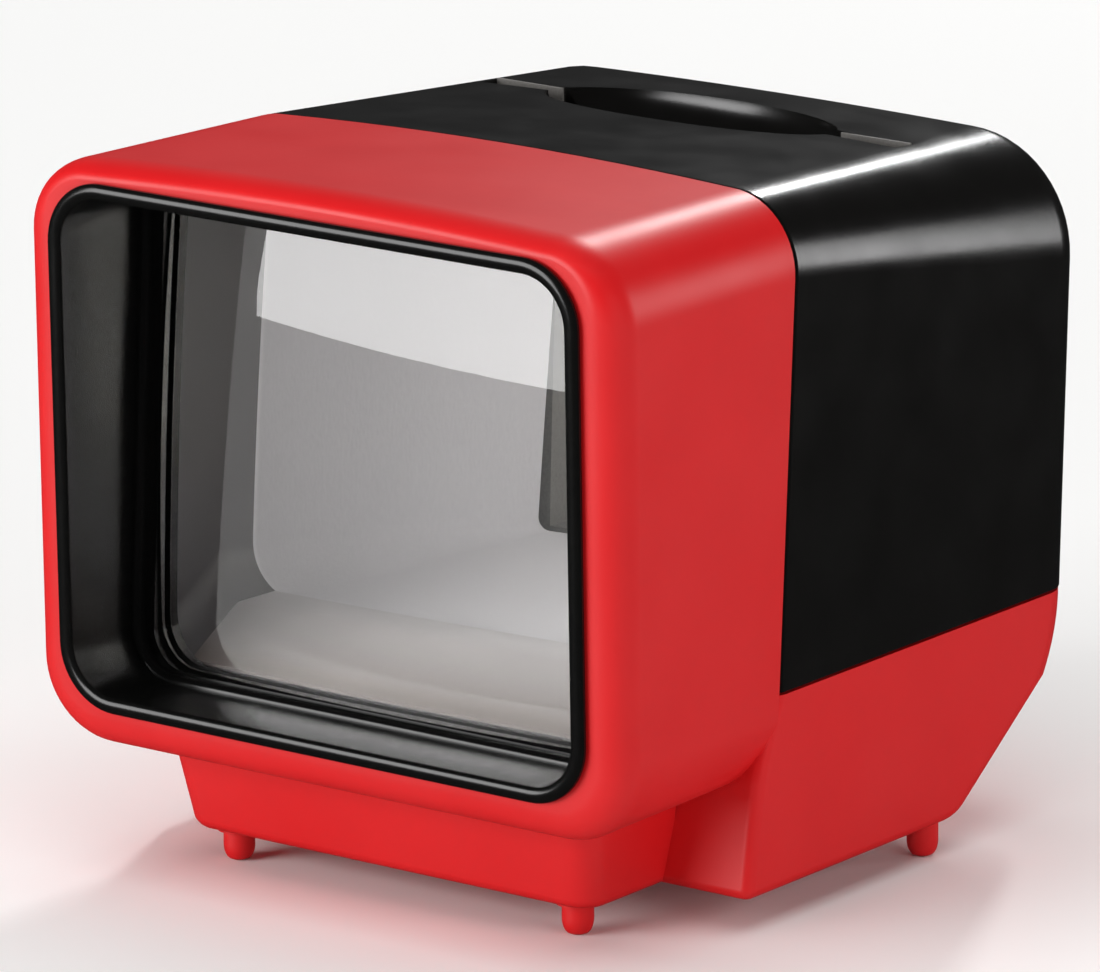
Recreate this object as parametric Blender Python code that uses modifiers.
"""Battery slide viewer for 50 x 50 mm mounted slides.

A red moulded front case (lens hood, pedestal, battery trough and feet) carries a black lens bezel, a
thick moulded magnifying lens, a slide gate with a sprung slide rest that works the lamp switch, a lamp
with its diffuser and reflector, and two AA cells. A black cover with the slide slot and a finger scoop
pulls off to the rear.

Depths run along +Y from the front of the viewer, heights along +Z from the surface it stands on, and X
is measured from the plane of symmetry. Lengths are in metres.
"""

import math

import bmesh
import bpy
from mathutils import Matrix, Vector

MM = 0.001

# Slide and cells: the standard pieces that set the size of everything else
SLIDE_SIZE = 50.0 * MM
CELL_DIAMETER = 14.5 * MM
CELL_LENGTH = 50.5 * MM
CELL_NUB_DIAMETER = 5.4 * MM
CELL_NUB_HEIGHT = 1.2 * MM
CELL_EDGE = 0.6 * MM

# Clearances
FIT_GAP = 0.3 * MM
SLIDE_PLAY = 1.0 * MM
CUT_OVERRUN = 2.0 * MM

# Walls
HOOD_WALL = 1.6 * MM
BASE_WALL = 1.8 * MM
COVER_WALL = 1.6 * MM

# Reference height of the leaning front, seam and rear planes
PLANE_HEIGHT = 45.0 * MM
FRONT_LEAN_SHARE = -0.022
SEAM_LEAN_SHARE = 0.058
REAR_LEAN_SHARE = 0.038

# Lens hood: outer sections at the front plane and at the seam with the rear cover
HOOD_BOTTOM = 13.5 * MM
HOOD_SPREAD = 0.95 * MM
HOOD_FRONT_RISE = 0.75 * MM
HOOD_SIDE_RIM = 4.15 * MM
HOOD_BOTTOM_RIM = 4.0 * MM
HOOD_TOP_RIM = 1.9 * MM
HOOD_FRONT_RADIUS = 8.4 * MM
HOOD_RIM_ROUNDING = 3.4 * MM
HOOD_RIM_TOP_SHARE = 0.56
HOOD_RIM_THICKNESS = 3.6 * MM
SEAM_DEPTH = 28.8 * MM
SEAM_OVER_SLIDE = 3.05 * MM
SEAM_RADIUS = 8.0 * MM
TOP_CROWN = 0.75 * MM

# Rear cover
COVER_BOTTOM = 23.5 * MM
COVER_TOP_FALL = 3.05 * MM
COVER_REAR_RADIUS = 12.5 * MM
COVER_REAR_CROWN = 0.25 * MM
COVER_REAR_ROUNDING = 5.0 * MM
LIP_LENGTH = 2.5 * MM
LIP_WALL = 1.1 * MM
LIP_ROOT = 1.5 * MM
LIP_RAISE = 0.8 * MM

# Slide slot and finger scoop in the cover's top
SLOT_WIDTH = 2.9 * MM
SCOOP_HALF_LENGTH = 17.5 * MM
SCOOP_HALF_WIDTH = 8.0 * MM
SCOOP_SINK = 5.6 * MM
SCOOP_SHIFT = 0.6 * MM

# Base: battery trough with a sloped rear
BASE_BOTTOM = 3.5 * MM
BASE_SEAM_SETBACK = 1.3 * MM
BASE_FRONT_SWEEP = 5.0 * MM
BASE_FRONT_CORNER = 1.2 * MM
BASE_INNER_CORNER = 0.5 * MM
BASE_EDGE_ROUNDING = 1.2 * MM
BASE_REAR_SETBACK = 1.0 * MM
BASE_REAR_SWEEP = 2.5 * MM
SLOPE_LENGTH = 15.9 * MM
SLOPE_END_HEIGHT = 15.0 * MM
WALL_LEVEL_SHARES = (0, 0.35, 0.7, 1)
HOLLOW_LEVEL_SHARES = (0, 0.5, 1)

# Pedestal under the hood
PEDESTAL_SIDE_SETBACK = 11.4 * MM
PEDESTAL_SPREAD = 1.2 * MM
PEDESTAL_FRONT_LOW = 10.4 * MM
PEDESTAL_FRONT_HIGH = 8.2 * MM
PEDESTAL_CORNER = 3.0 * MM

# Feet
FOOT_DIAMETER = 3.2 * MM
FOOT_TIP_DIAMETER = 1.3 * MM
FOOT_COLLAR_DIAMETER = 4.4 * MM
FOOT_COLLAR_HEIGHT = 0.35 * MM
DOME_SHARES = (1, 0.75, 0.5, 0.25, 0)
FRONT_FOOT_INSET = 4.1 * MM
FRONT_FOOT_SETBACK = 3.6 * MM
REAR_FOOT_INSET = 2.45 * MM
REAR_FOOT_SETBACK = 5.5 * MM

# Lens bezel: bead, tunnel, inner ledge and the pocket of the lens. The lens leans back with the seam.
WINDOW_RADIUS = 5.0 * MM
BEZEL_WIDTH = 1.65 * MM
BEAD_HEIGHT = 0.7 * MM
BEAD_EDGE_SHARE = 0.2
BEZEL_TUBE_WALL = 0.8 * MM
TUNNEL_SPREAD = 0.9 * MM
TUNNEL_DROP = 0.7 * MM
LEDGE_DEPTH = 11.2 * MM
LEDGE_ROUNDING = 0.5 * MM
POCKET_DEPTH = 12.5 * MM
POCKET_INSET = 1.2 * MM
POCKET_RISE = 0.15 * MM
BEZEL_FLANGE_THICKNESS = 1.6 * MM

# Magnifying lens
LENS_VERTEX_DEPTH = 12.0 * MM
LENS_FRONT_RADIUS = 400.0 * MM
LENS_REAR_RADIUS = 60.0 * MM
LENS_CORNER_RADIUS = 4.5 * MM
LENS_FLANGE_WIDTH = 1.7 * MM
LENS_FLANGE_THICKNESS = 2.0 * MM
LENS_LAND = 0.4 * MM
LENS_CLIP_THICKNESS = 2.0 * MM
LENS_CLIP_WIDTH = 2.4 * MM

# Slide gate
REST_HEIGHT = 20.0 * MM
GATE_LAND = 6.5 * MM
GATE_COLUMN_WALL = 2.4 * MM
GATE_SIDE_CLEARANCE = 1.05 * MM
GATE_FRONT_WALL = 2.4 * MM
GATE_REAR_WALL = 1.5 * MM
GATE_BAR_BOTTOM = 11.0 * MM
GATE_BAR_THICKNESS = 2.2 * MM
GATE_TOP_CLEARANCE = 3.0 * MM
BOSS_DIAMETER = 5.0 * MM
SCREW_DIAMETER = 2.2 * MM
SCREW_HEAD_DIAMETER = 4.0 * MM
SCREW_HEAD_HEIGHT = 1.4 * MM
SCREW_LENGTH = 6.0 * MM
SCREW_CROWN_SHARE = 0.7

# Slide rest, return springs and switch
REST_THICKNESS = 2.4 * MM
REST_NUB_WIDTH = 3.0 * MM
REST_NUB_HEIGHT = 1.0 * MM
RETURN_SPRING_INSET = 4.2 * MM
RETURN_SPRING_DIAMETER = 2.2 * MM
RETURN_SPRING_WIRE = 0.3 * MM
RETURN_SPRING_CURLS = 4
LEAF_THICKNESS = 0.4 * MM
LEAF_WIDTH = 2.2 * MM
LEAF_ROOT_X = 15.2 * MM
LEAF_TIP_X = -9.0 * MM
CONTACT_X = -7.0 * MM
CONTACT_DIAMETER = 2.2 * MM
CONTACT_HEIGHT = 0.6 * MM

# Slide pressure springs
PRESSER_THICKNESS = 0.35 * MM
PRESSER_WIDTH = 3.0 * MM
PRESSER_LENGTH = 26.0 * MM
PRESSER_TOP_DROP = 3.5 * MM
PRESSER_BULGE = 0.5 * MM

# Diffuser, reflector and lamp
DIFFUSER_THICKNESS = 1.2 * MM
DIFFUSER_SIDE_MARGIN = 6.5 * MM
DIFFUSER_MARGIN = 1.5 * MM
REFLECTOR_WALL = 0.8 * MM
REFLECTOR_SIDE_MARGIN = 2.0 * MM
REFLECTOR_TOP_DROP = 3.5 * MM
REFLECTOR_CORNER = 5.0 * MM
LAMP_DIAMETER = 9.0 * MM
LAMP_CLEARANCE = 0.728 * MM
LAMP_GLASS_LENGTH = 14.0 * MM
LAMP_CAP_LENGTH = 8.5 * MM
LAMP_TIP_DIAMETER = 3.0 * MM
LAMP_TIP_LENGTH = 1.2 * MM
LAMP_TIP_SHARE = 0.8
LAMP_NECK_SHARE = 0.8
HOLDER_JAW = 2.2 * MM
HOLDER_SLEEVE_DROP = 0.5 * MM
HOLDER_FLOOR = 1.6 * MM
HOLDER_POST_WIDTH = 7.0 * MM
HOLDER_POST_DEPTH = 4.0 * MM
HOLDER_PAD_TOP = 17.6 * MM
HOLDER_GRIP_SHARE = 0.8

# Battery compartment
CELL_SPACING = 0.8 * MM
CELL_FRONT_CLEARANCE = 1.2 * MM
CELL_REAR_CLEARANCE = 2.157 * MM
CONTACT_PLATE_THICKNESS = 0.4 * MM
CONTACT_PLATE_HEIGHT = 11.0 * MM
CONTACT_PLATE_REACH_SHARE = 0.8
CONTACT_RIB_THICKNESS = 1.4 * MM
CONTACT_RIB_HEIGHT = 12.5 * MM
CELL_LID_THICKNESS = 1.2 * MM
CELL_LID_LEG_LENGTH = 3.0 * MM
CELL_SPRING_LENGTH = 4.8 * MM
CELL_SPRING_BASE_DIAMETER = 8.0 * MM
CELL_SPRING_TIP_DIAMETER = 5.0 * MM
CELL_SPRING_WIRE = 0.6 * MM
CELL_SPRING_CURLS = 4

# Leads
LEAD_DIAMETER = 1.2 * MM
LEAD_HEIGHT = 20.2 * MM
LEAD_SIDE_CLEARANCE = 0.9 * MM

# Facets
CORNER_STEPS = 6
CROWN_STEPS = 6
ROUND_STEPS = 24
SMALL_ROUND_STEPS = 16
SCOOP_STEPS = 32
LENS_RINGS = 7
RIM_STEPS = 5
BEAD_STEPS = 6
LEDGE_STEPS = 3
POINTS_PER_CURL = 9
PRESSER_STEPS = 6
LEAD_STEPS = 4
MERGE_DISTANCE = 0.001 * MM

# Values worked out from the sizes above
TUNNEL_STEP_DEPTH = HOOD_RIM_THICKNESS + FIT_GAP
SLOT_HALF_LENGTH = (SLIDE_SIZE + 2 * SLIDE_PLAY) / 2
CELL_RADIUS = CELL_DIAMETER / 2
CELL_BAY = CELL_LENGTH + CELL_NUB_HEIGHT + CELL_SPRING_LENGTH + 2 * FIT_GAP
PLATE_X = CELL_BAY / 2
RIB_X = PLATE_X + CONTACT_PLATE_THICKNESS + FIT_GAP
GATE_COLUMN_OUTSIDE = SLOT_HALF_LENGTH + GATE_COLUMN_WALL
GATE_EAR_WIDTH = SCREW_HEAD_DIAMETER + 2 * FIT_GAP
SCREW_X = GATE_COLUMN_OUTSIDE + GATE_EAR_WIDTH / 2
RETURN_SPRING_X = SLOT_HALF_LENGTH - RETURN_SPRING_INSET
BASE_INNER_HALF_WIDTH = max(GATE_COLUMN_OUTSIDE + GATE_EAR_WIDTH + GATE_SIDE_CLEARANCE,
                            RIB_X + CONTACT_RIB_THICKNESS + 2 * LEAD_DIAMETER)
BASE_HALF_WIDTH = BASE_INNER_HALF_WIDTH + BASE_WALL
SEAM_HALF_WIDTH = BASE_HALF_WIDTH
HOOD_FRONT_HALF_WIDTH = SEAM_HALF_WIDTH + HOOD_SPREAD
SEAM_TOP = REST_HEIGHT + SLIDE_SIZE + SEAM_OVER_SLIDE
HOOD_FRONT_TOP = SEAM_TOP + HOOD_FRONT_RISE
COVER_REAR_TOP = SEAM_TOP - COVER_TOP_FALL
WINDOW_HALF_WIDTH = HOOD_FRONT_HALF_WIDTH - HOOD_SIDE_RIM - BEZEL_WIDTH
WINDOW_BOTTOM = HOOD_BOTTOM + HOOD_BOTTOM_RIM + BEZEL_WIDTH
WINDOW_TOP = HOOD_FRONT_TOP - HOOD_TOP_RIM - BEZEL_WIDTH
WINDOW_HEIGHT = (WINDOW_BOTTOM + WINDOW_TOP) / 2
WINDOW_HALF_HEIGHT = (WINDOW_TOP - WINDOW_BOTTOM) / 2
LENS_HALF_WIDTH = WINDOW_HALF_WIDTH - POCKET_INSET - FIT_GAP
LENS_HALF_HEIGHT = WINDOW_HALF_HEIGHT - POCKET_RISE - FIT_GAP
LENS_CORNER_REACH = math.hypot(LENS_HALF_WIDTH, LENS_HALF_HEIGHT)
FRONT_CORNER_SAG = LENS_FRONT_RADIUS - math.sqrt(LENS_FRONT_RADIUS ** 2 - LENS_CORNER_REACH ** 2)
REAR_CORNER_SAG = LENS_REAR_RADIUS - math.sqrt(LENS_REAR_RADIUS ** 2 - LENS_CORNER_REACH ** 2)
LENS_FLANGE_DEPTH = LENS_VERTEX_DEPTH + FRONT_CORNER_SAG + LENS_LAND
BEZEL_BACK = LENS_FLANGE_DEPTH - FIT_GAP
LENS_CLIP_DEPTH = LENS_FLANGE_DEPTH + LENS_FLANGE_THICKNESS + FIT_GAP
BASE_FRONT_HIGH = SEAM_DEPTH - BASE_SEAM_SETBACK
BASE_FRONT_LOW = BASE_FRONT_HIGH - BASE_FRONT_SWEEP
CELL_HEIGHT = BASE_BOTTOM + BASE_WALL + FIT_GAP + CELL_RADIUS
CELL_WALL_SHARE = (CELL_HEIGHT - BASE_BOTTOM) / (COVER_BOTTOM - BASE_BOTTOM)
CELL_WALL_DEPTH = BASE_FRONT_LOW + (BASE_FRONT_HIGH - BASE_FRONT_LOW) * CELL_WALL_SHARE ** 2 + BASE_WALL
FRONT_CELL_DEPTH = CELL_WALL_DEPTH + CELL_FRONT_CLEARANCE + CELL_RADIUS
REAR_CELL_DEPTH = FRONT_CELL_DEPTH + CELL_DIAMETER + CELL_SPACING
RIB_TOP = BASE_BOTTOM + BASE_WALL + CONTACT_RIB_HEIGHT
GATE_FRONT = REAR_CELL_DEPTH + CELL_RADIUS + CELL_REAR_CLEARANCE
SLOT_DEPTH = GATE_FRONT + GATE_FRONT_WALL + SLOT_WIDTH / 2
GATE_REAR = SLOT_DEPTH + SLOT_WIDTH / 2 + GATE_REAR_WALL
GATE_BAR_TOP = GATE_BAR_BOTTOM + GATE_BAR_THICKNESS
GATE_WINDOW = SLIDE_SIZE - 2 * GATE_LAND
GATE_SILL = REST_HEIGHT + GATE_LAND
PRESSER_X = (GATE_WINDOW / 2 + SLOT_HALF_LENGTH) / 2
PRESSER_TOP = GATE_SILL + GATE_WINDOW - PRESSER_TOP_DROP
HOLDER_SLEEVE_BOTTOM = GATE_SILL - HOLDER_SLEEVE_DROP
REST_BOTTOM = REST_HEIGHT - REST_THICKNESS
LEAF_TOP = REST_BOTTOM - REST_NUB_HEIGHT - FIT_GAP
DIFFUSER_HALF_WIDTH = GATE_WINDOW / 2 + DIFFUSER_SIDE_MARGIN
DIFFUSER_REAR = GATE_REAR + FIT_GAP + DIFFUSER_THICKNESS
REFLECTOR_HALF_WIDTH = DIFFUSER_HALF_WIDTH + REFLECTOR_SIDE_MARGIN
REFLECTOR_BOTTOM = COVER_BOTTOM + 2 * FIT_GAP
REFLECTOR_TOP = GATE_SILL + GATE_WINDOW - REFLECTOR_TOP_DROP
LAMP_DEPTH = DIFFUSER_REAR + LAMP_CLEARANCE + LAMP_DIAMETER / 2
REFLECTOR_REAR = LAMP_DEPTH + LAMP_DIAMETER / 2 + LAMP_CLEARANCE + REFLECTOR_WALL
LAMP_BASE = HOLDER_SLEEVE_BOTTOM + HOLDER_FLOOR + FIT_GAP
COVER_REAR_DEPTH = REFLECTOR_REAR + FIT_GAP + COVER_WALL + REAR_LEAN_SHARE * (PLANE_HEIGHT - REFLECTOR_BOTTOM)
BASE_REAR_DEPTH = COVER_REAR_DEPTH - BASE_REAR_SETBACK
SLOPE_END_DEPTH = BASE_REAR_DEPTH - BASE_REAR_SWEEP
SLOPE_START_DEPTH = SLOPE_END_DEPTH - SLOPE_LENGTH
PEDESTAL_HALF_WIDTH = HOOD_FRONT_HALF_WIDTH - PEDESTAL_SIDE_SETBACK
FRONT_FOOT_X = PEDESTAL_HALF_WIDTH - FRONT_FOOT_INSET
FRONT_FOOT_DEPTH = PEDESTAL_FRONT_LOW + FRONT_FOOT_SETBACK
REAR_FOOT_X = BASE_HALF_WIDTH - REAR_FOOT_INSET
REAR_FOOT_DEPTH = SLOPE_START_DEPTH - REAR_FOOT_SETBACK
FOOT_PLACES = (
    (FRONT_FOOT_X, FRONT_FOOT_DEPTH, True),
    (REAR_FOOT_X, REAR_FOOT_DEPTH, False),
)

# The origin lies under the middle of the viewer's depth
FRONT_MOST = FRONT_LEAN_SHARE * (WINDOW_TOP - PLANE_HEIGHT) - BEAD_HEIGHT - FIT_GAP
REAR_MOST = COVER_REAR_DEPTH + REAR_LEAN_SHARE * (COVER_REAR_TOP - COVER_REAR_ROUNDING - PLANE_HEIGHT)
MIDDLE_DEPTH = (FRONT_MOST + REAR_MOST) / 2


# Scene, collections and materials

def clear_scene():
    """Remove every object that the opened file holds."""
    for old in list(bpy.data.objects):
        bpy.data.objects.remove(old, do_unlink=True)


def new_collection(name):
    """Make a collection in the scene."""
    group = bpy.data.collections.new(name)
    bpy.context.scene.collection.children.link(group)
    return group


def plain_material(name, colour, roughness, metallic=0.0, alpha=1.0):
    """Make a Principled material from an 8-bit colour."""
    linear = [(channel / 255) ** 2.2 for channel in colour]
    made = bpy.data.materials.new(name)
    made.use_nodes = True
    shader = made.node_tree.nodes["Principled BSDF"]
    shader.inputs["Base Color"].default_value = (*linear, 1.0)
    shader.inputs["Roughness"].default_value = roughness
    shader.inputs["Metallic"].default_value = metallic
    shader.inputs["Alpha"].default_value = alpha
    made.diffuse_color = (*linear, alpha)
    return made


clear_scene()
PARTS = new_collection("slide_viewer")
CUTTERS = new_collection("cutters")

RED_PLASTIC = plain_material("red_plastic", (200, 40, 44), 0.35)
BLACK_PLASTIC = plain_material("black_plastic", (30, 29, 28), 0.45)
BEZEL_PLASTIC = plain_material("bezel_plastic", (24, 24, 24), 0.35)
CLEAR_ACRYLIC = plain_material("clear_acrylic", (225, 230, 232), 0.03, alpha=0.35)
OPAL_PLASTIC = plain_material("opal_plastic", (236, 236, 230), 0.5)
WHITE_CARD = plain_material("white_card", (240, 240, 236), 0.6)
LAMP_GLASS = plain_material("lamp_glass", (235, 238, 240), 0.05, alpha=0.35)
BRASS = plain_material("brass", (200, 165, 90), 0.3, metallic=1.0)
SPRING_STEEL = plain_material("spring_steel", (180, 182, 185), 0.3, metallic=1.0)
CELL_SLEEVE = plain_material("cell_sleeve", (60, 84, 120), 0.35)
LEAD_RED = plain_material("lead_red", (170, 30, 30), 0.45)
LEAD_BLACK = plain_material("lead_black", (25, 25, 25), 0.45)


# Mesh helpers

def link_object(name, mesh, material=None, part=True):
    """Put a mesh in the scene as a part, or as a hidden cutter."""
    made = bpy.data.objects.new(name, mesh)
    if part:
        PARTS.objects.link(made)
    else:
        CUTTERS.objects.link(made)
        made.hide_render = True
        made.display_type = "WIRE"
    if material is not None:
        mesh.materials.append(material)
    return made


def mesh_from(name, cage):
    """Turn a bmesh into a mesh whose faces point outward."""
    bmesh.ops.recalc_face_normals(cage, faces=cage.faces)
    mesh = bpy.data.meshes.new(name)
    cage.to_mesh(mesh)
    cage.free()
    return mesh


def box(name, low, high, material=None, part=False):
    """A box between two corners."""
    low = Vector(low)
    high = Vector(high)
    cage = bmesh.new()
    bmesh.ops.create_cube(cage, size=1)
    size = high - low
    bmesh.ops.scale(cage, vec=size, verts=cage.verts)
    bmesh.ops.translate(cage, vec=(low + high) / 2, verts=cage.verts)
    return link_object(name, mesh_from(name, cage), material, part)


def cylinder(name, centre, radius, length, material=None, part=False):
    """An upright cylinder that starts at its centre point and rises by its length."""
    cage = bmesh.new()
    bmesh.ops.create_cone(
        cage, cap_ends=True, segments=SMALL_ROUND_STEPS, radius1=radius, radius2=radius, depth=length)
    bmesh.ops.translate(cage, vec=Vector(centre) + Vector((0, 0, length / 2)), verts=cage.verts)
    return link_object(name, mesh_from(name, cage), material, part)


def loft(name, rings, material=None, part=False, closed=False):
    """Skin rings that have the same number of points. A closed loft joins its last ring to its first."""
    cage = bmesh.new()
    rows = [[cage.verts.new(point) for point in ring] for ring in rings]
    pairs = list(zip(rows, rows[1:]))
    if closed:
        pairs.append((rows[-1], rows[0]))
    for near, far in pairs:
        for index in range(len(near)):
            after = (index + 1) % len(near)
            cage.faces.new((near[index], near[after], far[after], far[index]))
    if not closed:
        cage.faces.new(rows[0])
        cage.faces.new(rows[-1])
    return link_object(name, mesh_from(name, cage), material, part)


def combine(target, other, operation):
    """Join or cut a part with another solid."""
    step = target.modifiers.new(operation.lower(), "BOOLEAN")
    step.operation = operation
    step.solver = "EXACT"
    step.object = other
    return target


def settle(made):
    """Store an object's evaluated mesh, so that it can be joined to others."""
    bpy.context.view_layer.update()
    evaluated = made.evaluated_get(bpy.context.evaluated_depsgraph_get())
    mesh = bpy.data.meshes.new_from_object(evaluated)
    made.modifiers.clear()
    made.data = mesh
    return made


def turned(name, profile, material=None, part=False, steps=ROUND_STEPS):
    """Turn a profile of (radius, height) points, listed from the top down, round the Z axis."""
    cage = bmesh.new()
    points = [cage.verts.new((radius, 0, height)) for radius, height in profile]
    for above, below in zip(points, points[1:]):
        cage.edges.new((above, below))
    mesh = bpy.data.meshes.new(name)
    cage.to_mesh(mesh)
    cage.free()
    made = link_object(name, mesh, material, part)
    screw = made.modifiers.new("turn", "SCREW")
    screw.steps = steps
    screw.render_steps = steps
    screw.use_merge_vertices = True
    screw.merge_threshold = MERGE_DISTANCE
    return settle(made)


def tube(name, points, diameter, material, resolution):
    """A round wire along a list of points, made a mesh with welded ends."""
    curve = bpy.data.curves.new(name, "CURVE")
    curve.dimensions = "3D"
    curve.bevel_depth = diameter / 2
    curve.bevel_resolution = resolution
    curve.use_fill_caps = True
    spline = curve.splines.new("POLY")
    spline.points.add(len(points) - 1)
    for place, point in zip(spline.points, points):
        place.co = (*point, 1)
    guide = bpy.data.objects.new(name + "_path", curve)
    CUTTERS.objects.link(guide)
    bpy.context.view_layer.update()
    evaluated = guide.evaluated_get(bpy.context.evaluated_depsgraph_get())
    mesh = bpy.data.meshes.new_from_object(evaluated)
    bpy.data.objects.remove(guide, do_unlink=True)
    cage = bmesh.new()
    cage.from_mesh(mesh)
    bmesh.ops.remove_doubles(cage, verts=cage.verts, dist=MERGE_DISTANCE)
    mesh.materials.clear()
    bmesh.ops.recalc_face_normals(cage, faces=cage.faces)
    cage.to_mesh(mesh)
    cage.free()
    return link_object(name, mesh, material, True)


def move(made, offset):
    """Shift a mesh by an offset."""
    made.data.transform(Matrix.Translation(offset))
    return made


def smooth(made, angle_share=1 / 6):
    """Shade a part smooth, with edges sharper than a share of a half turn left crisp."""
    made.data.shade_smooth()
    made.data.set_sharp_from_angle(angle=math.pi * angle_share)
    return made


# Outlines

def corner_points(centre_x, centre_y, radius, start, steps):
    """Points of a quarter circle, or the corner itself where the radius is zero."""
    if radius == 0:
        return [(centre_x, centre_y)]
    points = []
    for step in range(steps + 1):
        angle = start + math.pi / 2 * step / steps
        points.append((centre_x + radius * math.cos(angle), centre_y + radius * math.sin(angle)))
    return points


def rounded_outline(half_width, low, high, low_radius, high_radius, crown=0.0):
    """A rounded rectangle as (across, up) points, with a crowned upper edge."""
    right_low = corner_points(half_width - low_radius, low + low_radius, low_radius, -math.pi / 2, CORNER_STEPS)
    right_high = corner_points(half_width - high_radius, high - high_radius, high_radius, 0, CORNER_STEPS)
    left_high = [(-across, up) for across, up in reversed(right_high)]
    left_low = [(-across, up) for across, up in reversed(right_low)]
    flat = half_width - high_radius
    top = []
    for step in range(1, CROWN_STEPS):
        share = 1 - 2 * step / CROWN_STEPS
        top.append((flat * share, high + crown * (1 - share ** 2)))
    return right_low + right_high + top + left_high + left_low


def mix(first, second, share):
    """A value between two others."""
    return first + (second - first) * share


def upright_ring(outline, depth, lean):
    """Stand an outline up at a depth, on a plane that leans along Y with height."""
    return [Vector((x, depth + lean * (z - PLANE_HEIGHT) - MIDDLE_DEPTH, z)) for x, z in outline]


def plan_ring(outline, height):
    """Lay an outline of (across, depth) points flat at a height."""
    return [Vector((x, depth - MIDDLE_DEPTH, height)) for x, depth in outline]


def at_depth(depth):
    """The Y coordinate of a depth."""
    return depth - MIDDLE_DEPTH


# Outer sections of the moulded shells

def hood_ring(depth, inset, top_share=1):
    """The hood's section at a depth, drawn in by an inset, of which the top takes a share."""
    share = depth / SEAM_DEPTH
    half_width = mix(HOOD_FRONT_HALF_WIDTH, SEAM_HALF_WIDTH, share)
    top = mix(HOOD_FRONT_TOP, SEAM_TOP, share)
    radius = mix(HOOD_FRONT_RADIUS, SEAM_RADIUS, share) - inset
    lean = mix(FRONT_LEAN_SHARE, SEAM_LEAN_SHARE, share)
    outline = rounded_outline(
        half_width - inset, HOOD_BOTTOM + inset, top - inset * top_share, radius, radius, TOP_CROWN)
    return upright_ring(outline, depth, lean)


def cover_ring(depth, inset, bottom):
    """The rear cover's section at a depth: square at its open bottom, rounded above."""
    share = (depth - SEAM_DEPTH) / (COVER_REAR_DEPTH - SEAM_DEPTH)
    top = mix(SEAM_TOP, COVER_REAR_TOP, share)
    radius = mix(SEAM_RADIUS, COVER_REAR_RADIUS, share) - inset
    lean = mix(SEAM_LEAN_SHARE, REAR_LEAN_SHARE, share)
    crown = mix(TOP_CROWN, COVER_REAR_CROWN, share)
    outline = rounded_outline(SEAM_HALF_WIDTH - inset, bottom, top - inset, 0, radius, crown)
    return upright_ring(outline, depth, lean)


def base_front(height):
    """Depth of the base's front wall at a height."""
    share = (height - BASE_BOTTOM) / (COVER_BOTTOM - BASE_BOTTOM)
    return mix(BASE_FRONT_LOW, BASE_FRONT_HIGH, share ** 2)


def base_rear(height):
    """Depth of the base's rear wall at a height: a slope below, then a curve to upright."""
    if height <= SLOPE_END_HEIGHT:
        share = (height - BASE_BOTTOM) / (SLOPE_END_HEIGHT - BASE_BOTTOM)
        return mix(SLOPE_START_DEPTH, SLOPE_END_DEPTH, share)
    share = (height - SLOPE_END_HEIGHT) / (COVER_BOTTOM - SLOPE_END_HEIGHT)
    return mix(SLOPE_END_DEPTH, BASE_REAR_DEPTH, 1 - (1 - share) ** 2)


def base_ring(height, inset, shape_height=None):
    """The base's plan at a height, drawn in by an inset."""
    followed = height if shape_height is None else shape_height
    half_width = BASE_HALF_WIDTH - inset
    front = base_front(followed) + inset
    rear = base_rear(followed) - inset
    front_radius = max(BASE_FRONT_CORNER - inset, BASE_INNER_CORNER)
    rear_radius = max(COVER_REAR_ROUNDING - inset, BASE_FRONT_CORNER)
    return plan_ring(rounded_outline(half_width, front, rear, front_radius, rear_radius), height)


def pedestal_ring(height, inset, rear):
    """The pedestal's plan at a height. It spreads and leans forward as it rises."""
    share = (height - BASE_BOTTOM) / (HOOD_BOTTOM - BASE_BOTTOM)
    half_width = PEDESTAL_HALF_WIDTH + PEDESTAL_SPREAD * share - inset
    front = mix(PEDESTAL_FRONT_LOW, PEDESTAL_FRONT_HIGH, share) + inset
    radius = max(PEDESTAL_CORNER - inset, BASE_FRONT_CORNER)
    return plan_ring(rounded_outline(half_width, front, rear, radius, 0), height)


def rounding_steps(radius, count):
    """Insets and advances of a quarter-round edge, from its face to its side."""
    steps = []
    for step in range(count + 1):
        angle = math.pi / 2 * step / count
        steps.append((radius * (1 - math.sin(angle)), radius * (1 - math.cos(angle))))
    return steps


def window_outline(inset_across, inset_up, radius):
    """The lens window's outline, drawn in by one inset at its sides and another above and below."""
    return rounded_outline(WINDOW_HALF_WIDTH - inset_across, WINDOW_BOTTOM + inset_up,
                           WINDOW_TOP - inset_up, radius, radius)


# Red front case

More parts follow.
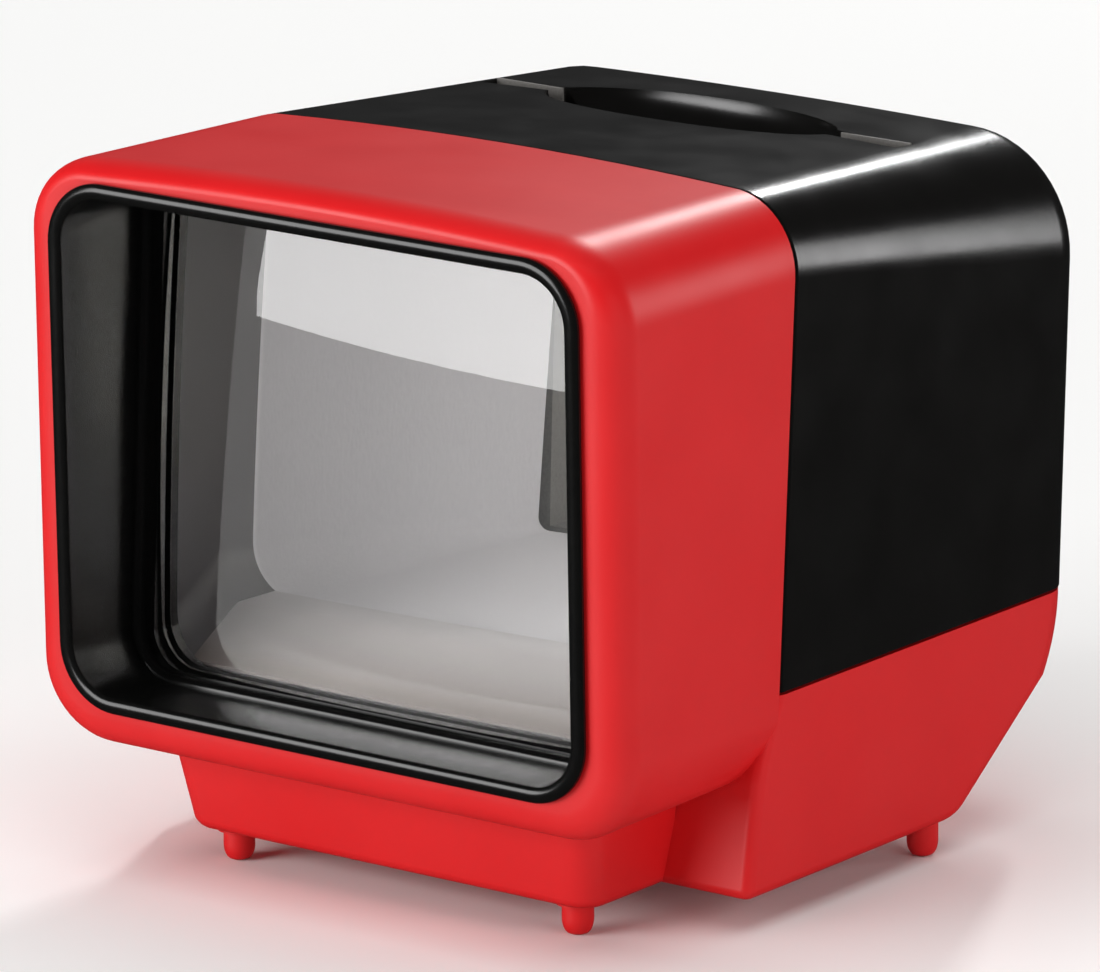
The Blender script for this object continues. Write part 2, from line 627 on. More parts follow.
def front_case():
    """Hood, battery base, pedestal and feet in one moulding, open at the window, the rear and the top."""
    rim = [hood_ring(advance, inset, HOOD_RIM_TOP_SHARE)
           for inset, advance in rounding_steps(HOOD_RIM_ROUNDING, RIM_STEPS)]
    made = loft("front_case", rim + [hood_ring(SEAM_DEPTH, 0)], RED_PLASTIC, part=True)

    levels = [mix(SLOPE_END_HEIGHT, COVER_BOTTOM, share) for share in WALL_LEVEL_SHARES]
    floor_edge = [
        base_ring(BASE_BOTTOM + advance, inset) for inset, advance in rounding_steps(BASE_EDGE_ROUNDING, 2)]
    base = loft("base_block", floor_edge + [base_ring(level, 0) for level in levels])
    combine(made, base, "UNION")

    pedestal_rear = BASE_FRONT_LOW + BASE_WALL / 2
    pedestal_edge = [
        pedestal_ring(BASE_BOTTOM + advance, inset, pedestal_rear)
        for inset, advance in rounding_steps(BASE_EDGE_ROUNDING, 2)]
    pedestal_top = HOOD_BOTTOM + HOOD_WALL / 2
    pedestal = loft("pedestal_block", pedestal_edge + [pedestal_ring(pedestal_top, 0, pedestal_rear)])
    combine(made, pedestal, "UNION")

    hood_hollow = loft("hood_hollow", [
        hood_ring(HOOD_RIM_THICKNESS, HOOD_WALL), hood_ring(SEAM_DEPTH + CUT_OVERRUN, HOOD_WALL)])
    combine(made, hood_hollow, "DIFFERENCE")

    seat = FIT_GAP + BEZEL_TUBE_WALL
    window_cut = loft("window_cut", [
        upright_ring(window_outline(-seat, -seat, WINDOW_RADIUS + seat), depth, FRONT_LEAN_SHARE)
        for depth in (-CUT_OVERRUN, HOOD_RIM_THICKNESS + CUT_OVERRUN)])
    combine(made, window_cut, "DIFFERENCE")

    floor = BASE_BOTTOM + BASE_WALL
    slope_rise = BASE_WALL * math.hypot(
        1, (SLOPE_END_HEIGHT - BASE_BOTTOM) / (SLOPE_END_DEPTH - SLOPE_START_DEPTH))
    hollow_levels = [mix(SLOPE_END_HEIGHT, COVER_BOTTOM, share) for share in HOLLOW_LEVEL_SHARES]
    base_hollow = loft(
        "base_hollow",
        [base_ring(floor, BASE_WALL, floor - slope_rise + BASE_WALL / 2)]
        + [base_ring(level, BASE_WALL) for level in hollow_levels]
        + [base_ring(COVER_BOTTOM + CUT_OVERRUN, BASE_WALL, COVER_BOTTOM)])
    combine(made, base_hollow, "DIFFERENCE")

    hollow_rear = BASE_FRONT_LOW + 2 * BASE_WALL
    pedestal_hollow = loft("pedestal_hollow", [
        pedestal_ring(level, BASE_WALL, hollow_rear) for level in (floor, HOOD_BOTTOM - BASE_WALL)])
    combine(made, pedestal_hollow, "DIFFERENCE")

    skin = BASE_WALL / 2
    core = loft(
        "base_core",
        [base_ring(BASE_BOTTOM + skin, skin)] + [base_ring(level, skin) for level in levels])
    for side in (-1, 1):
        for across, depth, has_collar in FOOT_PLACES:
            combine(made, foot(side * across, depth, has_collar), "UNION")
        combine(made, trimmed(gate_boss(side), core), "UNION")
        combine(made, trimmed(contact_rib(side), core), "UNION")
    combine(made, trimmed(lamp_pad(), core), "UNION")
    return smooth(made)


def trimmed(made, core):
    """Keep only what lies inside the base's mid-wall surface, so that nothing shows outside."""
    return settle(combine(made, core, "INTERSECT"))


def foot(across, depth, has_collar):
    """A domed peg, with or without a shallow collar where it joins the bottom."""
    radius = FOOT_DIAMETER / 2
    tip = FOOT_TIP_DIAMETER / 2
    dome = [(mix(tip, radius, math.sin(math.pi / 2 * share)), radius * (1 - math.cos(math.pi / 2 * share)))
            for share in DOME_SHARES]
    root = BASE_BOTTOM + BASE_WALL / 2
    collar = FOOT_COLLAR_DIAMETER / 2
    under = BASE_BOTTOM - FOOT_COLLAR_HEIGHT
    shoulder = [(collar, root), (collar, under), (radius, under)] if has_collar else [(radius, root)]
    profile = [(0, root)] + shoulder + dome + [(0, 0)]
    made = turned("foot_peg", profile, steps=SMALL_ROUND_STEPS)
    return move(made, (across, at_depth(depth), 0))


def gate_boss(side):
    """A post on the base's floor that the gate's ear is screwed to."""
    start = BASE_BOTTOM
    top = GATE_BAR_BOTTOM - FIT_GAP
    made = cylinder("gate_boss", (side * SCREW_X, at_depth(GATE_FRONT + BOSS_DIAMETER / 2), start),
                    BOSS_DIAMETER / 2, top - start)
    bore = cylinder("boss_bore", (side * SCREW_X, at_depth(GATE_FRONT + BOSS_DIAMETER / 2),
                                  GATE_BAR_TOP - SCREW_LENGTH - FIT_GAP),
                    SCREW_DIAMETER / 2 + FIT_GAP, SCREW_LENGTH + CUT_OVERRUN)
    return settle(combine(made, bore, "DIFFERENCE"))


def contact_rib(side):
    """A rib that holds the contact plates at one end of the cells."""
    front = FRONT_CELL_DEPTH - CELL_RADIUS
    rear = REAR_CELL_DEPTH + CELL_RADIUS
    near = side * RIB_X
    far = side * (RIB_X + CONTACT_RIB_THICKNESS)
    return box("contact_rib", (min(near, far), at_depth(front), BASE_BOTTOM),
               (max(near, far), at_depth(rear), RIB_TOP))


def lamp_pad():
    """A level pad on the sloped floor for the foot of the lamp holder."""
    half_width = HOLDER_POST_WIDTH / 2
    half_depth = HOLDER_POST_DEPTH / 2
    return box("lamp_pad", (-half_width, at_depth(LAMP_DEPTH - half_depth), BASE_BOTTOM),
               (half_width, at_depth(LAMP_DEPTH + half_depth), HOLDER_PAD_TOP))


# Black rear cover

def rear_cover():
    """Cover with a register lip, rounded rear, slide slot and finger scoop."""
    bottom = COVER_BOTTOM + FIT_GAP
    seam = SEAM_DEPTH + FIT_GAP
    lip_inset = HOOD_WALL + FIT_GAP
    rounding = [
        cover_ring(COVER_REAR_DEPTH - advance, inset, bottom)
        for inset, advance in reversed(rounding_steps(COVER_REAR_ROUNDING, 5))]
    lip_bottom = bottom + LIP_RAISE
    outer = [cover_ring(SEAM_DEPTH - LIP_LENGTH, lip_inset, lip_bottom), cover_ring(seam, lip_inset, lip_bottom),
             cover_ring(seam, 0, bottom), cover_ring(SLOT_DEPTH, 0, bottom)]
    made = loft("rear_cover", outer + rounding, BLACK_PLASTIC, part=True)

    bowl_outer = ellipsoid("scoop_bowl", COVER_WALL)
    below = bottom - CUT_OVERRUN
    lip_below = below + CUT_OVERRUN / 2
    lip_inside = lip_inset + LIP_WALL
    inner_rounding = [
        cover_ring(COVER_REAR_DEPTH - COVER_WALL - advance, inset + COVER_WALL, below)
        for inset, advance in reversed(rounding_steps(COVER_REAR_ROUNDING - COVER_WALL, 3))]
    hollow = loft("cover_hollow", [
        cover_ring(SEAM_DEPTH - LIP_LENGTH - CUT_OVERRUN, lip_inside, lip_below),
        cover_ring(seam + LIP_ROOT, lip_inside, lip_below), cover_ring(seam + LIP_ROOT, COVER_WALL, below),
        cover_ring(SLOT_DEPTH, COVER_WALL, below)] + inner_rounding)
    combine(hollow, bowl_outer, "DIFFERENCE")
    settle(hollow)
    combine(made, hollow, "DIFFERENCE")
    combine(made, ellipsoid("scoop_cut", 0), "DIFFERENCE")
    slot = box("slot_cut", (-SLOT_HALF_LENGTH, at_depth(SLOT_DEPTH - SLOT_WIDTH / 2), REST_HEIGHT + SLIDE_SIZE / 2),
               (SLOT_HALF_LENGTH, at_depth(SLOT_DEPTH + SLOT_WIDTH / 2), HOOD_FRONT_TOP + CUT_OVERRUN))
    combine(made, slot, "DIFFERENCE")
    return smooth(made)


def ellipsoid(name, wall):
    """The finger scoop's bowl, grown by a wall, centred on the cover's top above the slot."""
    share = (SLOT_DEPTH - SEAM_DEPTH) / (COVER_REAR_DEPTH - SEAM_DEPTH)
    top = mix(SEAM_TOP, COVER_REAR_TOP, share) + mix(TOP_CROWN, COVER_REAR_CROWN, share)
    cage = bmesh.new()
    bmesh.ops.create_uvsphere(cage, u_segments=SCOOP_STEPS, v_segments=SCOOP_STEPS // 2, radius=1)
    size = (SCOOP_HALF_LENGTH + wall, SCOOP_HALF_WIDTH + wall, SCOOP_SINK + wall)
    bmesh.ops.scale(cage, vec=size, verts=cage.verts)
    bmesh.ops.translate(cage, vec=(0, at_depth(SLOT_DEPTH - SCOOP_SHIFT), top), verts=cage.verts)
    return link_object(name, mesh_from(name, cage), part=False)


# Lens bezel, lens and clip

def lens_bezel():
    """The black tunnel: a bead round the window, a rounded ledge and a pocket for the lens.

    Its profile lists insets at the sides, insets above and below, and depths, from the bead's outer
    edge round the inside to the flange at the back.
    """
    bead_back = -FIT_GAP
    profile = [(-BEZEL_WIDTH, -BEZEL_WIDTH, bead_back)]
    for step in range(BEAD_STEPS + 1):
        angle = math.pi * step / BEAD_STEPS
        across = mix(-BEZEL_WIDTH, 0, (1 - math.cos(angle)) / 2)
        rise = mix(BEAD_EDGE_SHARE, 1, math.sin(angle))
        profile.append((across, across, bead_back - BEAD_HEIGHT * rise))
    profile.append((0, 0, bead_back))
    profile.append((0, 0, TUNNEL_STEP_DEPTH))
    profile.append((-TUNNEL_SPREAD, -TUNNEL_DROP, LEDGE_DEPTH))
    for step in range(LEDGE_STEPS + 1):
        angle = math.pi / 2 * step / LEDGE_STEPS
        back = LEDGE_ROUNDING * (1 - math.sin(angle))
        profile.append((-back, -back, LEDGE_DEPTH + LEDGE_ROUNDING * (1 - math.cos(angle))))
    profile.append((0, 0, POCKET_DEPTH))
    profile.append((POCKET_INSET, POCKET_RISE, POCKET_DEPTH))
    profile.append((POCKET_INSET, POCKET_RISE, BEZEL_BACK))
    rings = [bezel_ring(across, up, depth) for across, up, depth in profile]
    flange_front = BEZEL_BACK - BEZEL_FLANGE_THICKNESS
    flange_inset = HOOD_WALL + FIT_GAP
    rings.append(leaning_ring(hood_ring(BEZEL_BACK, flange_inset), BEZEL_BACK))
    rings.append(leaning_ring(hood_ring(flange_front, flange_inset), flange_front))
    wall = BEZEL_TUBE_WALL
    rings.append(bezel_ring(-TUNNEL_SPREAD - wall, -TUNNEL_DROP - wall, flange_front))
    rings.append(bezel_ring(-TUNNEL_SPREAD - wall, -TUNNEL_DROP - wall, LEDGE_DEPTH))
    rings.append(bezel_ring(-wall, -wall, TUNNEL_STEP_DEPTH))
    rings.append(bezel_ring(-wall, -wall, bead_back))
    return smooth(loft("lens_bezel", rings, BEZEL_PLASTIC, part=True, closed=True))


def bezel_ring(inset_across, inset_up, depth):
    """A ring of the bezel: on the leaning front plane at the bead, parallel to the seam at the lens."""
    share = min(max(depth / LEDGE_DEPTH, 0), 1)
    radius = mix(WINDOW_RADIUS, LENS_CORNER_RADIUS, share) - min(inset_across, inset_up)
    lean = mix(FRONT_LEAN_SHARE, SEAM_LEAN_SHARE, share)
    return upright_ring(window_outline(inset_across, inset_up, radius), depth, lean)


def leaning_ring(ring, depth):
    """Move a ring's points onto a plane parallel to the seam."""
    return [Vector((point.x, at_depth(depth + SEAM_LEAN_SHARE * (point.z - PLANE_HEIGHT)), point.z))
            for point in ring]


def lens_outline(grow):
    """The lens's outline, grown by a width."""
    across = POCKET_INSET + FIT_GAP - grow
    up = POCKET_RISE + FIT_GAP - grow
    return window_outline(across, up, LENS_CORNER_RADIUS + grow)


def lens_cap(share, vertex, radius, sign):
    """One ring of a spherical face: the outline scaled about the axis, sunk by the sphere's sag."""
    ring = []
    for across, up in lens_outline(0):
        x = across * share
        z = (up - WINDOW_HEIGHT) * share
        sag = radius - math.sqrt(radius ** 2 - x ** 2 - z ** 2)
        ring.append(Vector((x, at_depth(vertex + sign * sag), z + WINDOW_HEIGHT)))
    return leaned(ring)


def leaned(ring):
    """Lean points back with height, parallel to the seam."""
    return [point + Vector((0, SEAM_LEAN_SHARE * (point.z - PLANE_HEIGHT), 0)) for point in ring]


def magnifying_lens():
    """A thick biconvex lens cut to a rounded rectangle, with a mounting flange round its edge."""
    rear_vertex = LENS_FLANGE_DEPTH + LENS_FLANGE_THICKNESS + REAR_CORNER_SAG
    shares = [(step + 1) / LENS_RINGS for step in range(LENS_RINGS)]
    rings = [lens_cap(share, LENS_VERTEX_DEPTH, LENS_FRONT_RADIUS, 1) for share in shares]
    flange_rear = LENS_FLANGE_DEPTH + LENS_FLANGE_THICKNESS
    for grow, depth in ((0, LENS_FLANGE_DEPTH), (LENS_FLANGE_WIDTH, LENS_FLANGE_DEPTH),
                        (LENS_FLANGE_WIDTH, flange_rear), (0, flange_rear)):
        rings.append(upright_ring(lens_outline(grow), depth, SEAM_LEAN_SHARE))
    rings += [lens_cap(share, rear_vertex, LENS_REAR_RADIUS, -1) for share in reversed(shares)]
    return smooth(loft("magnifying_lens", rings, CLEAR_ACRYLIC, part=True), 1 / 8)


def lens_clip():
    """The frame that holds the lens's flange against the bezel."""
    rear = LENS_CLIP_DEPTH + LENS_CLIP_THICKNESS
    outer = HOOD_WALL + FIT_GAP
    inner = lens_outline(LENS_FLANGE_WIDTH - LENS_CLIP_WIDTH / 2)
    rings = [leaning_ring(hood_ring(LENS_CLIP_DEPTH, outer), LENS_CLIP_DEPTH),
             leaning_ring(hood_ring(rear, outer), rear), upright_ring(inner, rear, SEAM_LEAN_SHARE),
             upright_ring(inner, LENS_CLIP_DEPTH, SEAM_LEAN_SHARE)]
    return smooth(loft("lens_clip", rings, BLACK_PLASTIC, part=True, closed=True))


# Slide gate, slide rest and switch

def cover_ceiling(depth):
    """Height of the cover's inside at a depth, beside the crown."""
    share = (depth - SEAM_DEPTH) / (COVER_REAR_DEPTH - SEAM_DEPTH)
    return mix(SEAM_TOP, COVER_REAR_TOP, share) - COVER_WALL


def slide_gate():
    """A U-shaped frame with a channel for the slide's edges, screwed to the base by two ears."""
    top = cover_ceiling(GATE_REAR) - GATE_TOP_CLEARANCE
    front = at_depth(GATE_FRONT)
    rear = at_depth(GATE_REAR)
    made = box("slide_gate", (-GATE_COLUMN_OUTSIDE, front, GATE_BAR_BOTTOM), (GATE_COLUMN_OUTSIDE, rear, top),
               BLACK_PLASTIC, part=True)
    half_window = GATE_WINDOW / 2
    window = box("gate_window", (-half_window, front - CUT_OVERRUN, GATE_SILL),
                 (half_window, rear + CUT_OVERRUN, top + CUT_OVERRUN))
    combine(made, window, "DIFFERENCE")
    channel = box("gate_channel", (-SLOT_HALF_LENGTH, at_depth(SLOT_DEPTH - SLOT_WIDTH / 2), GATE_BAR_TOP),
                  (SLOT_HALF_LENGTH, at_depth(SLOT_DEPTH + SLOT_WIDTH / 2), top + CUT_OVERRUN))
    combine(made, channel, "DIFFERENCE")
    switch_bay = box("switch_bay", (-half_window, at_depth(SLOT_DEPTH), GATE_BAR_TOP),
                     (half_window, rear + CUT_OVERRUN, GATE_SILL + CUT_OVERRUN))
    combine(made, switch_bay, "DIFFERENCE")
    ear_rear = at_depth(GATE_FRONT + BOSS_DIAMETER)
    for side in (-1, 1):
        inner = side * (GATE_COLUMN_OUTSIDE - GATE_REAR_WALL)
        outer = side * (GATE_COLUMN_OUTSIDE + GATE_EAR_WIDTH)
        ear = box("gate_ear", (min(inner, outer), front, GATE_BAR_BOTTOM), (max(inner, outer), ear_rear, GATE_BAR_TOP))
        combine(made, ear, "UNION")
        bore = cylinder("ear_bore", (side * SCREW_X, at_depth(GATE_FRONT + BOSS_DIAMETER / 2),
                                     GATE_BAR_BOTTOM - CUT_OVERRUN),
                        SCREW_DIAMETER / 2 + FIT_GAP, GATE_BAR_THICKNESS + 2 * CUT_OVERRUN)
        combine(made, bore, "DIFFERENCE")
    return made


def gate_screw(side):
    """A pan-head screw through one of the gate's ears."""
    head = SCREW_HEAD_DIAMETER / 2
    shank = SCREW_DIAMETER / 2
    under = GATE_BAR_TOP + FIT_GAP
    crown = under + SCREW_HEAD_HEIGHT
    profile = [(0, crown), (head * SCREW_CROWN_SHARE, crown), (head, crown - SCREW_HEAD_HEIGHT / 2), (head, under),
               (shank, under), (shank, under - SCREW_LENGTH + shank), (0, under - SCREW_LENGTH)]
    name = "gate_screw_left" if side < 0 else "gate_screw_right"
    made = turned(name, profile, SPRING_STEEL, part=True, steps=SMALL_ROUND_STEPS)
    return smooth(move(made, (side * SCREW_X, at_depth(GATE_FRONT + BOSS_DIAMETER / 2), 0)))


def slide_rest():
    """The bar that the slide stands on. It runs in the gate's channel and presses the switch leaf."""
    half_depth = SLOT_WIDTH / 2 - FIT_GAP
    low_y = at_depth(SLOT_DEPTH - half_depth)
    high_y = at_depth(SLOT_DEPTH + half_depth)
    half_width = SLOT_HALF_LENGTH - FIT_GAP
    made = box("slide_rest", (-half_width, low_y, REST_BOTTOM), (half_width, high_y, REST_HEIGHT),
               OPAL_PLASTIC, part=True)
    nub = box("rest_nub", (-REST_NUB_WIDTH / 2, low_y, REST_BOTTOM - REST_NUB_HEIGHT),
              (REST_NUB_WIDTH / 2, high_y, REST_BOTTOM + REST_THICKNESS / 2))
    return combine(made, nub, "UNION")


def coil_points(centre, radii, length, curls):
    """Points along a helix that rises from its centre point. Its radius may change on the way."""
    count = curls * POINTS_PER_CURL
    points = []
    for step in range(count + 1):
        share = step / count
        angle = 2 * math.pi * curls * share
        radius = mix(radii[0], radii[1], share)
        points.append((radius * math.cos(angle), radius * math.sin(angle), length * share))
    return [Vector(centre) + Vector(point) for point in points]


def least_gap(points, wire):
    """The smallest distance between neighbouring curls, less the wire."""
    return min((a - b).length for a, b in zip(points, points[POINTS_PER_CURL:])) - wire


def return_spring(side):
    """A small coil spring under one end of the slide rest."""
    wire = RETURN_SPRING_WIRE
    bottom = GATE_BAR_TOP + FIT_GAP + wire / 2
    length = REST_BOTTOM - FIT_GAP - wire / 2 - bottom
    radius = (RETURN_SPRING_DIAMETER - wire) / 2
    points = coil_points((side * RETURN_SPRING_X, at_depth(SLOT_DEPTH), bottom), (radius, radius), length,
                         RETURN_SPRING_CURLS)
    name = "return_spring_left" if side < 0 else "return_spring_right"
    print(name, "least gap in mm", round(least_gap(points, wire) / MM, 3))
    return smooth(tube(name, points, wire, SPRING_STEEL, 1))


def switch_leaf():
    """A bent contact strip that the slide rest presses down onto the fixed contact."""
    low_y = at_depth(SLOT_DEPTH - LEAF_WIDTH / 2)
    high_y = at_depth(SLOT_DEPTH + LEAF_WIDTH / 2)
    bottom = LEAF_TOP - LEAF_THICKNESS
    made = box("switch_leaf", (LEAF_TIP_X, low_y, bottom), (LEAF_ROOT_X, high_y, LEAF_TOP), BRASS, part=True)
    leg = box("leaf_leg", (LEAF_ROOT_X - LEAF_THICKNESS, low_y, GATE_BAR_TOP + FIT_GAP),
              (LEAF_ROOT_X, high_y, bottom + LEAF_THICKNESS / 2))
    return combine(made, leg, "UNION")


def switch_contact():
    """The fixed contact stud on the gate's bar, with its terminal strip."""
    base = GATE_BAR_TOP + FIT_GAP
    made = cylinder("switch_contact", (CONTACT_X, at_depth(SLOT_DEPTH), base), CONTACT_DIAMETER / 2,
                    CONTACT_HEIGHT, BRASS, part=True)
    strip = box("contact_strip", (CONTACT_X - CONTACT_DIAMETER, at_depth(SLOT_DEPTH - LEAF_WIDTH / 2), base),
                (CONTACT_X, at_depth(SLOT_DEPTH + LEAF_WIDTH / 2), base + LEAF_THICKNESS))
    return combine(made, strip, "UNION")


# Diffuser, reflector and lamp

def diffuser():
    """An opal sheet behind the gate's window."""
    front = at_depth(GATE_REAR + FIT_GAP)
    return box("diffuser", (-DIFFUSER_HALF_WIDTH, front, GATE_SILL - DIFFUSER_MARGIN),
               (DIFFUSER_HALF_WIDTH, front + DIFFUSER_THICKNESS, GATE_SILL + GATE_WINDOW),
               OPAL_PLASTIC, part=True)


def reflector():
    """A white sheet bent round the back of the lamp, whose wings meet the diffuser."""
    wing = at_depth(DIFFUSER_REAR + FIT_GAP)
    bottom = REFLECTOR_BOTTOM
    rear = at_depth(REFLECTOR_REAR)
    rings = []
    for height in (bottom, REFLECTOR_TOP):
        outer = rounded_outline(REFLECTOR_HALF_WIDTH, wing, rear, 0, REFLECTOR_CORNER)
        rings.append([Vector((x, y, height)) for x, y in outer])
    made = loft("reflector", rings, WHITE_CARD, part=True)
    hollow_rings = []
    for height in (bottom - CUT_OVERRUN, REFLECTOR_TOP + CUT_OVERRUN):
        inner = rounded_outline(REFLECTOR_HALF_WIDTH - REFLECTOR_WALL, wing - CUT_OVERRUN,
                                rear - REFLECTOR_WALL, 0, REFLECTOR_CORNER - REFLECTOR_WALL)
        hollow_rings.append([Vector((x, y, height)) for x, y in inner])
    return smooth(combine(made, loft("reflector_hollow", hollow_rings), "DIFFERENCE"))


def lamp_holder():
    """A block with two jaws round the lamp's cap, on a post that stands on the case's pad."""
    bore = LAMP_DIAMETER / 2 + FIT_GAP
    floor = HOLDER_SLEEVE_BOTTOM + HOLDER_FLOOR
    rim = floor + LAMP_CAP_LENGTH * HOLDER_GRIP_SHARE
    half_depth = LAMP_DIAMETER / 2
    half_width = bore + HOLDER_JAW
    made = box("lamp_holder", (-half_width, at_depth(LAMP_DEPTH - half_depth), HOLDER_SLEEVE_BOTTOM),
               (half_width, at_depth(LAMP_DEPTH + half_depth), rim), BLACK_PLASTIC, part=True)
    socket = cylinder("lamp_socket", (0, at_depth(LAMP_DEPTH), floor), bore, LAMP_CAP_LENGTH + CUT_OVERRUN)
    combine(made, socket, "DIFFERENCE")
    post_half_width = HOLDER_POST_WIDTH / 2
    post_half_depth = HOLDER_POST_DEPTH / 2
    post = box("holder_post", (-post_half_width, at_depth(LAMP_DEPTH - post_half_depth), HOLDER_PAD_TOP + FIT_GAP),
               (post_half_width, at_depth(LAMP_DEPTH + post_half_depth), HOLDER_SLEEVE_BOTTOM + HOLDER_FLOOR / 2))
    return smooth(combine(made, post, "UNION"))


def lamp_cap():
    """The lamp's brass screw cap with its solder tip."""
    radius = LAMP_DIAMETER / 2
    tip = LAMP_TIP_DIAMETER / 2
    top = LAMP_BASE + LAMP_CAP_LENGTH
    shoulder = LAMP_BASE + LAMP_TIP_LENGTH
    profile = [(0, top), (radius, top), (radius, shoulder), (tip, shoulder), (tip * LAMP_TIP_SHARE, LAMP_BASE),
               (0, LAMP_BASE)]
    return smooth(move(turned("lamp_cap", profile, BRASS, part=True), (0, at_depth(LAMP_DEPTH), 0)))


def lamp_bulb():
    """The lamp's glass, drawn in at the neck and domed at the top."""
    radius = LAMP_DIAMETER / 2
    start = LAMP_BASE + LAMP_CAP_LENGTH + FIT_GAP
    top = start + LAMP_GLASS_LENGTH
    neck = radius * LAMP_NECK_SHARE
    profile = []
    for step in range(CORNER_STEPS):
        angle = math.pi / 2 * step / (CORNER_STEPS - 1)
        profile.append((radius * math.sin(angle), top - radius + radius * math.cos(angle)))
    profile += [(radius, start + radius), (neck, start + radius / 3), (neck, start), (0, start)]
    return smooth(move(turned("lamp_bulb", profile, LAMP_GLASS, part=True), (0, at_depth(LAMP_DEPTH), 0)))


def presser(side):
    """A leaf spring beside the window that presses the slide's edge against the gate."""
    name = "slide_presser_left" if side < 0 else "slide_presser_right"
    across = side * PRESSER_X
    half = PRESSER_WIDTH / 2
    face = at_depth(SLOT_DEPTH + SLOT_WIDTH / 2) - FIT_GAP
    rings = []
    for step in range(PRESSER_STEPS + 1):
        share = step / PRESSER_STEPS
        height = PRESSER_TOP - PRESSER_LENGTH * share
        bow = PRESSER_BULGE * math.sin(math.pi * share)
        back = face - bow
        front = back - PRESSER_THICKNESS
        rings.append([Vector((across - half, front, height)), Vector((across + half, front, height)),
                      Vector((across + half, back, height)), Vector((across - half, back, height))])
    return loft(name, rings, SPRING_STEEL, part=True)


# Cells and contacts

def cell(name, depth, direction):
    """An AA cell lying across the base, its nub towards one side."""
    half = CELL_LENGTH / 2
    edge = CELL_EDGE
    nub = CELL_NUB_DIAMETER / 2
    profile = [(0, half + CELL_NUB_HEIGHT), (nub - edge / 2, half + CELL_NUB_HEIGHT),
               (nub, half + CELL_NUB_HEIGHT - edge / 2), (nub, half), (CELL_RADIUS - edge, half),
               (CELL_RADIUS, half - edge), (CELL_RADIUS, -half + edge), (CELL_RADIUS - edge, -half), (0, -half)]
    made = turned(name, profile, CELL_SLEEVE, part=True)
    made.data.transform(Matrix.Rotation(direction * math.pi / 2, 4, "Y"))
    shift = direction * (PLATE_X - FIT_GAP - CELL_NUB_HEIGHT - half)
    return smooth(move(made, (shift, at_depth(depth), CELL_HEIGHT)))


def cell_spring(name, depth, side):
    """A conical spring between a contact plate and a cell's flat end."""
    wire = CELL_SPRING_WIRE
    length = CELL_SPRING_LENGTH - FIT_GAP - wire
    radii = ((CELL_SPRING_BASE_DIAMETER - wire) / 2, (CELL_SPRING_TIP_DIAMETER - wire) / 2)
    flat = coil_points((0, 0, 0), radii, length, CELL_SPRING_CURLS)
    turn = Matrix.Rotation(-side * math.pi / 2, 3, "Y")
    start = Vector((side * (PLATE_X - FIT_GAP - wire / 2), at_depth(depth), CELL_HEIGHT))
    points = [start + turn @ point for point in flat]
    print(name, "least gap in mm", round(least_gap(points, wire) / MM, 3))
    return smooth(tube(name, points, wire, SPRING_STEEL, 1))


def contact_plate(name, side, front, rear):
    """A sheet-metal contact that stands against its rib."""
    near = side * PLATE_X
    far = side * (PLATE_X + CONTACT_PLATE_THICKNESS)
    bottom = BASE_BOTTOM + BASE_WALL + FIT_GAP
    return box(name, (min(near, far), at_depth(front), bottom),
               (max(near, far), at_depth(rear), bottom + CONTACT_PLATE_HEIGHT), SPRING_STEEL, part=True)


def cell_lid():
    """A flat cover over the cells, on four short legs that stand on the ribs."""
    half_width = RIB_X + CONTACT_RIB_THICKNESS
    front = base_front(COVER_BOTTOM) + BASE_WALL + FIT_GAP
    rear = GATE_FRONT - 2 * FIT_GAP
    bottom = CELL_HEIGHT + CELL_RADIUS + 2 * FIT_GAP
    made = box("cell_lid", (-half_width, at_depth(front), bottom),
               (half_width, at_depth(rear), bottom + CELL_LID_THICKNESS), BLACK_PLASTIC, part=True)
    rib_front = max(FRONT_CELL_DEPTH - CELL_RADIUS, front)
    rib_rear = REAR_CELL_DEPTH + CELL_RADIUS
    for side in (-1, 1):
        near = side * RIB_X
        far = side * half_width
        for start in (rib_front, rib_rear - CELL_LID_LEG_LENGTH):
            leg = box("lid_leg", (min(near, far), at_depth(start), RIB_TOP + FIT_GAP),
                      (max(near, far), at_depth(start + CELL_LID_LEG_LENGTH), bottom + CELL_LID_THICKNESS / 2))
            combine(made, leg, "UNION")
    return made


def smooth_route(corners, per_leg):
    """Points of a smooth curve through a lead's corners."""
    places = [corners[0]] + corners + [corners[-1]]
    points = []
    for before, start, end, after in zip(places, places[1:], places[2:], places[3:]):
        for step in range(per_leg):
            share = step / per_leg
            bend = (end - before) / 2 * (share - 2 * share ** 2 + share ** 3)
            leave = (after - start) / 2 * (share ** 3 - share ** 2)
            along = start * (1 - 3 * share ** 2 + 2 * share ** 3) + end * (3 * share ** 2 - 2 * share ** 3)
            points.append(along + bend + leave)
    points.append(corners[-1])
    return points


def lead(name, corners, material):
    """A lead wire along its corners."""
    points = smooth_route([Vector(corner) for corner in corners], LEAD_STEPS)
    return smooth(tube(name, points, LEAD_DIAMETER, material, 2))


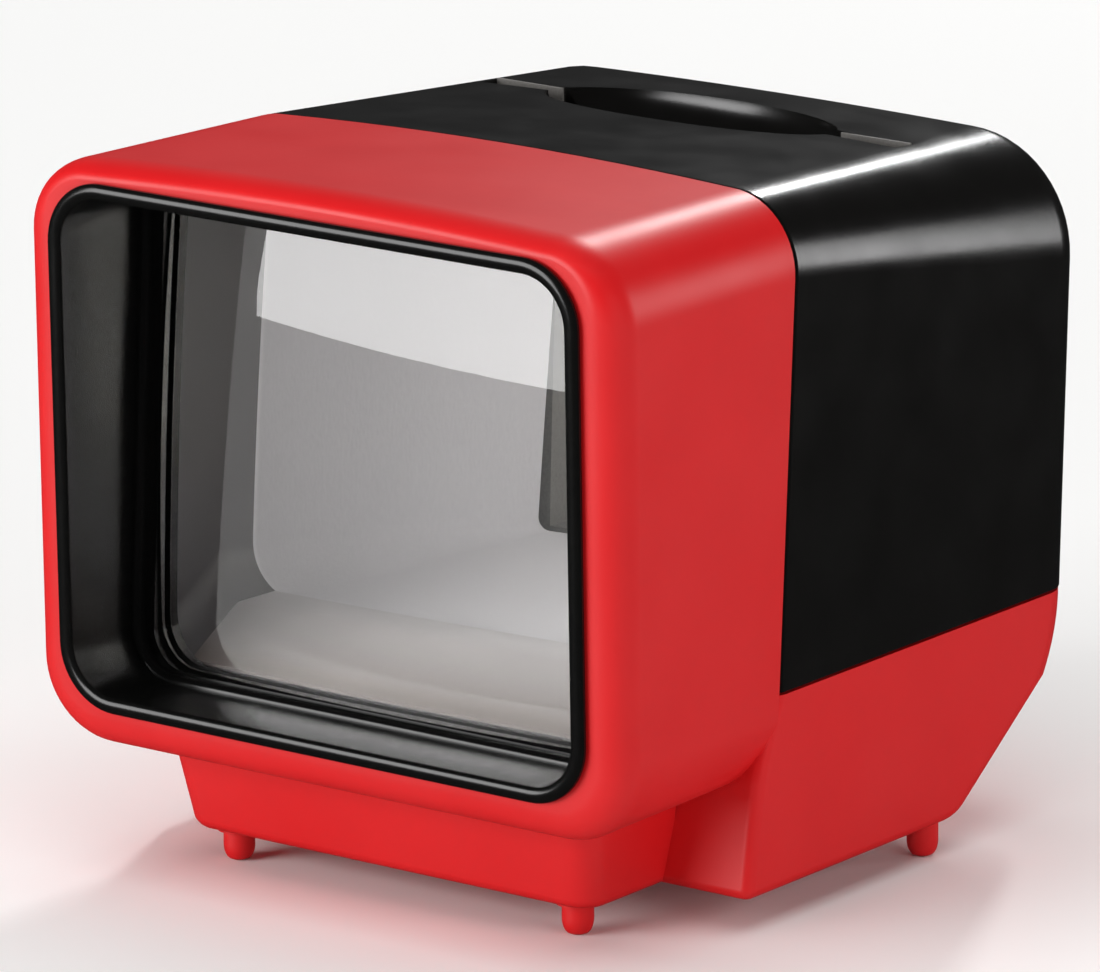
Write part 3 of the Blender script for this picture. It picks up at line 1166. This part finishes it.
def leads():
    """Leads from the cells and the switch to the lamp holder, laid beside the gate."""
    side_x = BASE_HALF_WIDTH - BASE_WALL - LEAD_SIDE_CLEARANCE
    plate_top = BASE_BOTTOM + BASE_WALL + FIT_GAP + CONTACT_PLATE_HEIGHT
    start_height = max(plate_top, RIB_TOP) + FIT_GAP + LEAD_DIAMETER / 2
    holder_x = HOLDER_POST_WIDTH / 2 + FIT_GAP + LEAD_DIAMETER / 2
    behind_gate = (GATE_REAR + LAMP_DEPTH) / 2
    lead("lamp_lead", [
        (PLATE_X + CONTACT_PLATE_THICKNESS / 2, at_depth(FRONT_CELL_DEPTH), start_height),
        (side_x - LEAD_DIAMETER, at_depth(REAR_CELL_DEPTH), start_height),
        (side_x - LEAD_DIAMETER, at_depth(GATE_FRONT), LEAD_HEIGHT),
        (side_x - 2 * LEAD_DIAMETER, at_depth(behind_gate), LEAD_HEIGHT),
        (holder_x, at_depth(LAMP_DEPTH), LEAD_HEIGHT)], LEAD_RED)
    lead("switch_lead", [
        (CONTACT_X - CONTACT_DIAMETER / 2, at_depth(GATE_REAR + LEAD_DIAMETER), GATE_BAR_TOP + LEAD_DIAMETER),
        (CONTACT_X, at_depth(behind_gate), LEAD_HEIGHT - LEAD_DIAMETER),
        (-holder_x, at_depth(LAMP_DEPTH), LEAD_HEIGHT)], LEAD_BLACK)


def build():
    """Make every part."""
    front_case()
    rear_cover()
    lens_bezel()
    magnifying_lens()
    lens_clip()
    slide_gate()
    slide_rest()
    switch_leaf()
    switch_contact()
    diffuser()
    reflector()
    lamp_holder()
    lamp_cap()
    lamp_bulb()
    for side in (-1, 1):
        gate_screw(side)
        return_spring(side)
        presser(side)
    cell("cell_front", FRONT_CELL_DEPTH, 1)
    cell("cell_rear", REAR_CELL_DEPTH, -1)
    cell_spring("cell_spring_front", FRONT_CELL_DEPTH, -1)
    cell_spring("cell_spring_rear", REAR_CELL_DEPTH, 1)
    front_edge = FRONT_CELL_DEPTH - CELL_RADIUS * CONTACT_PLATE_REACH_SHARE
    rear_edge = REAR_CELL_DEPTH + CELL_RADIUS * CONTACT_PLATE_REACH_SHARE
    split = (FRONT_CELL_DEPTH + REAR_CELL_DEPTH) / 2
    contact_plate("bridge_plate", -1, front_edge, rear_edge)
    contact_plate("lamp_plate", 1, front_edge, split - CELL_SPACING)
    contact_plate("switch_plate", 1, split + CELL_SPACING, rear_edge)
    cell_lid()
    leads()
    bpy.context.view_layer.update()


build()
